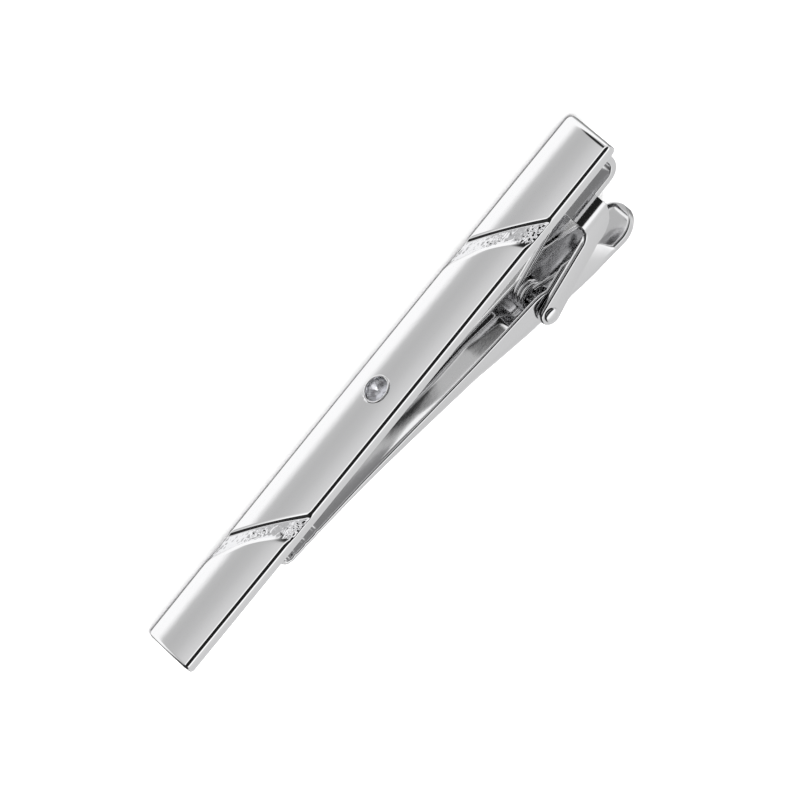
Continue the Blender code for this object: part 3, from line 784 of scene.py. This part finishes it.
def arm_grid():
    """Closed sections: down one side, round the floor and up, then back along the hollow between the sides.

    Outside and hollow are each half of |x|^p + |y|^p = 1, whose power p changes along the arm.
    """
    reach = arm_stations()
    top = arm_top(reach) - rib_rise(reach)
    floor = arm_floor(reach)
    half = arm_half(reach)
    wing_half = np.where(reach >= WING_START, np.maximum(thumb_half(reach), half), half)[:, None]
    wing_fall = wing_drop(reach, top)[:, None]
    hollow_half = np.maximum(half - SHEET, HOLLOW_LEAST)[:, None]
    hollow_deep = hollow_depth(reach, top, floor)[:, None]
    outer = 2 / np.interp(reach, *OUTER_POWERS)[:, None]
    inner = 2 / np.interp(reach, *INNER_POWERS)[:, None]
    turn = np.linspace(0, pi, 41)
    side = np.cos(turn)
    low = np.maximum(np.sin(turn), 0.0)
    outer_up = np.sign(side) * np.abs(side) ** outer * wing_half
    outer_fall = wing_fall + ((floor - top)[:, None] - wing_fall) * low ** outer
    inner_up = (np.sign(side) * np.abs(side) ** inner * hollow_half)[:, ::-1]
    quarter = np.linspace(pi / 2, 0, 6)
    corner_up = half[:, None] - EDGE_SOFT * (1 - np.cos(quarter))
    corner_fall = np.broadcast_to(EDGE_SOFT * (1 - np.sin(quarter)), corner_up.shape)
    soft = np.minimum(HOLLOW_SOFT, HOLLOW_SOFT_SHARE * hollow_deep)
    lip_up = hollow_half + soft * (1 - np.cos(quarter))
    lip_fall = soft * (1 - np.sin(quarter))
    inner_fall = soft + (hollow_deep - soft) * (low ** inner)[:, ::-1]
    ups = np.concatenate([corner_up, outer_up, -corner_up[:, ::-1], -lip_up, inner_up,
                          lip_up[:, ::-1]], axis=1)
    falls = np.concatenate([corner_fall, outer_fall, corner_fall[:, ::-1], lip_fall, inner_fall,
                            lip_fall[:, ::-1]], axis=1)
    return reach, top, ups, falls


def lip_grid():
    """The tip bent round towards the bar: sections fan about the bend's centre, then run straight on."""
    centre = (PIN_ALONG - JAW_REACH + LIP_RADIUS + SHEET, JAW_STANDOFF - LIP_RADIUS)
    straight = centre[1] - JAW_TIP_GAP
    turn = np.linspace(0, pi, 41)
    quarter = np.linspace(pi / 2, 0, 6)
    power = 2 / JAW_POWER
    spots = [(180.0, share * straight, narrow) for share, narrow in LIP_END]
    spots += [(angle, 0.0, 0.0) for angle in np.linspace(180, 102, 8)]
    loops = []
    for angle, beyond, narrow in spots:
        heading = (cos(radians(angle)), sin(radians(angle)))
        along = centre[0] + LIP_RADIUS * heading[0]
        depth = centre[1] + LIP_RADIUS * heading[1] - beyond
        half = JAW_HALF - narrow
        side = np.sign(np.cos(turn)) * np.abs(np.cos(turn)) ** power
        fall = EDGE_SOFT + (SHEET - EDGE_SOFT) * np.maximum(np.sin(turn), 0.0) ** power
        corner_up = half - EDGE_SOFT * (1 - np.cos(quarter))
        corner_fall = EDGE_SOFT * (1 - np.sin(quarter))
        spare = np.full(6, LIP_BACK * half)
        back = -LIP_BACK * half * np.cos(turn)[::-1]
        up = np.concatenate([corner_up, side * half, -corner_up[::-1], -spare, back, spare])
        down = np.concatenate([corner_fall, fall, corner_fall[::-1], np.zeros(len(turn) + 12)])
        loops.append(place(along + heading[0] * down, depth + heading[1] * down, up))
    return np.stack(loops)


def make_arm(finish):
    """The pressed arm in one skin: bent tip, ribbed jaw, dished body, boxed cheeks and thumb plate."""
    reach, top, ups, falls = arm_grid()
    body = place((PIN_ALONG + reach)[:, None], top[:, None] + falls, ups)
    grid = np.concatenate([lip_grid(), body])
    arm = piece("clamp_arm_pressed", [solid(grid)], "arm", "clamp_arm", finish, sharp=38)
    return arm


# ------------------------------------------------------------ torsion spring

def touch_angle(outside, radius, side):
    """Angle at which a line from an outside point touches the coil."""
    x, y = outside[0] - PIN_ALONG - COIL_SHIFT[0], outside[1] - PIN_DEPTH - COIL_SHIFT[1]
    return np.arctan2(y, x) + side * np.arccos(radius / np.hypot(x, y))


def spring_line():
    """Centre line: a leg from the web, three turns about the pin, and a leg to the thumb plate."""
    low = -(CHEEK_HALF - SHEET - WIRE_RADIUS - SPRING_GAP)
    high = low + COIL_TURNS * COIL_PITCH
    web = (WEB_FRONT + WEB_LEG, WEB_OUTER_DEPTH + WIRE_RADIUS + SPRING_GAP)
    thumb = (PIN_ALONG + THUMB_LEG, PIN_DEPTH + THUMB_DEPTH - SHEET - WIRE_RADIUS - 2 * SPRING_GAP)
    first = touch_angle(web, COIL_RADIUS, -1)
    last = touch_angle(thumb, COIL_RADIUS, -1)
    share = np.linspace(0, 1, 181)
    angle = first + (last - first - 2 * pi * COIL_TURNS) * share
    coil = np.stack([PIN_ALONG + COIL_SHIFT[0] + COIL_RADIUS * np.cos(angle),
                     PIN_DEPTH + COIL_SHIFT[1] + COIL_RADIUS * np.sin(angle), low + (high - low) * share], -1)
    steps = np.linspace(0, 1, 24)[:, None]
    web_end = np.array([*web, low])
    thumb_end = np.array([*thumb, high])
    before = web_end + (coil[0] - web_end) * steps[:-1]
    after = coil[-1] + (thumb_end - coil[-1]) * steps[1:]
    return np.vstack([before, coil, after])


def make_spring(finish):
    """A round wire carried along the spring's centre line, square to it at each point."""
    line = spring_line()
    heading = np.gradient(line, axis=0)
    heading /= np.linalg.norm(heading, axis=1)[:, None]
    across = np.cross((0.0, 0.0, 1.0), heading)
    across /= np.linalg.norm(across, axis=1)[:, None]
    over = np.cross(heading, across)
    turn = np.linspace(0, 2 * pi, 20, endpoint=False)
    radius = np.full(len(line), WIRE_RADIUS)
    radius[[0, -1]] = WIRE_RADIUS * WIRE_TIP
    ring = across[:, None, :] * np.cos(turn)[None, :, None] + over[:, None, :] * np.sin(turn)[None, :, None]
    grid = line[:, None, :] + ring * radius[:, None, None]
    spring = piece("spring_wire_coil", [solid(place(grid[..., 0], grid[..., 1], grid[..., 2]))],
                   "arm", "torsion_spring", finish, sharp=50)
    return spring


# --------------------------------------------------------------------- studio

def make_camera():
    """A long lens, 44 degrees above the bar's face and rolled so that the bar stands diagonally."""
    rise, swing, roll = radians(VIEW_RISE), radians(VIEW_SWING), radians(VIEW_ROLL)
    towards = Vector((-sin(swing), -cos(swing) * cos(rise), cos(swing) * sin(rise)))
    along = Vector((-cos(swing), sin(swing) * cos(rise), -sin(swing) * sin(rise)))
    across = Vector((0.0, sin(rise), cos(rise)))
    right = cos(roll) * along + sin(roll) * across
    upward = towards.cross(right)
    aim = Vector((AIM_SIDE, 0.0, 0.0)) * MM + across * AIM_ACROSS * MM
    data = bpy.data.cameras.new("camera")
    data.sensor_width = 36.0
    data.lens = VIEW_LENS
    data.clip_start = 0.01
    camera = bpy.data.objects.new("camera", data)
    turn = Matrix((right, upward, towards)).transposed().to_4x4()
    camera.matrix_world = Matrix.Translation(aim + towards * VIEW_DISTANCE * MM) @ turn
    bpy.context.scene.collection.objects.link(camera)
    bpy.context.scene.camera = camera


def grey(level):
    """One brightness as red, green, blue and alpha."""
    return (level, level, level, 1.0)


def make_world():
    """A tent shaded by angle about the bar, with a pale end, a dark end and one dark card."""
    world = bpy.data.worlds.new("studio_tent")
    world.use_nodes = True
    tree = world.node_tree
    where = node(tree, "ShaderNodeTexCoord")
    split = node(tree, "ShaderNodeSeparateXYZ", links={"Vector": where.outputs["Generated"]})
    front = node(tree, "ShaderNodeMath", {1: -1.0}, {0: split.outputs["Y"]}, operation="MULTIPLY")
    angle = node(tree, "ShaderNodeMath", links={0: split.outputs["Z"], 1: front.outputs[0]},
                 operation="ARCTAN2")
    share = node(tree, "ShaderNodeMapRange", {"From Min": -pi, "From Max": pi}, {"Value": angle.outputs[0]})
    ramp = node(tree, "ShaderNodeValToRGB", links={"Fac": share.outputs["Result"]})
    for _ in range(len(TENT) - 2):
        ramp.color_ramp.elements.new(0.5)
    for element, (turn, level) in zip(ramp.color_ramp.elements, TENT):
        element.position = (turn + 180) / 360
        element.color = grey(level)
    far = node(tree, "ShaderNodeMapRange",
               {"From Min": PALE_END[0], "From Max": PALE_END[1], "To Min": 1.0, "To Max": 0.0},
               {"Value": split.outputs["X"]})
    pale = node(tree, "ShaderNodeMix", {7: grey(PALE_LEVEL)},
                {0: far.outputs["Result"], 6: ramp.outputs["Color"]}, data_type="RGBA")
    free = node(tree, "ShaderNodeMapRange", {"From Min": DARK_END[0], "From Max": DARK_END[1]},
                {"Value": split.outputs["X"]})
    blend = node(tree, "ShaderNodeMix", {7: grey(DARK_LEVEL)},
                 {0: free.outputs["Result"], 6: pale.outputs[2]}, data_type="RGBA")
    card = node(tree, "ShaderNodeVectorMath", {1: Vector(CARD_TOWARDS).normalized()},
                {0: where.outputs["Generated"]}, operation="DOT_PRODUCT")
    edge, core = (cos(radians(angle)) for angle in CARD_ANGLES)
    shade = node(tree, "ShaderNodeMapRange",
                 {"From Min": edge, "From Max": core, "To Min": 1.0, "To Max": CARD_LEVEL},
                 {"Value": card.outputs["Value"]})
    background = tree.nodes["Background"]
    tree.links.new(blend.outputs[2], background.inputs["Color"])
    tree.links.new(shade.outputs["Result"], background.inputs["Strength"])
    bpy.context.scene.world = world


def make_floor():
    """A matt white sweep under the lower long edge of the bar."""
    made, _, shader = empty_material("white_paper_sweep")
    shader.inputs["Base Color"].default_value = linear("#FAFAFA")
    shader.inputs["Roughness"].default_value = 0.9
    shader.inputs["Specular IOR Level"].default_value = 0.0
    size = SWEEP_HALF * MM
    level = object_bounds()[0][2]
    mesh = bpy.data.meshes.new("floor")
    mesh.from_pydata([(-size, -size, level), (size, -size, level), (size, size, level), (-size, size, level)],
                     [], [(0, 1, 2, 3)])
    mesh.materials.append(made)
    floor = bpy.data.objects.new("floor", mesh)
    bpy.context.scene.collection.objects.link(floor)
    floor.visible_glossy = False


def make_lamp(name, place_at, size, watts):
    """A square soft box that lights the floor and isn't mirrored in the metal."""
    data = bpy.data.lights.new(name, "AREA")
    data.size = size
    data.energy = watts
    lamp = bpy.data.objects.new(name, data)
    lamp.location = place_at
    lamp.rotation_euler = Vector(place_at).to_track_quat("Z", "Y").to_euler()
    bpy.context.scene.collection.objects.link(lamp)
    lamp.visible_glossy = False


polished = polished_rhodium()
hammered = hammered_rhodium()
stamping = barrelled_stamping()
make_bar(polished, hammered)
make_cup(polished)
make_stone(cut_glass(), silver_foil())
make_bracket(stamping)
make_pin(stamping)
make_arm(stamping)
make_spring(drawn_wire())
make_camera()
make_world()
make_floor()
make_lamp("overhead_softbox", (0.1, -0.1, 0.7), 0.8, 9.0)
bpy.context.scene.view_settings.view_transform = "Standard"
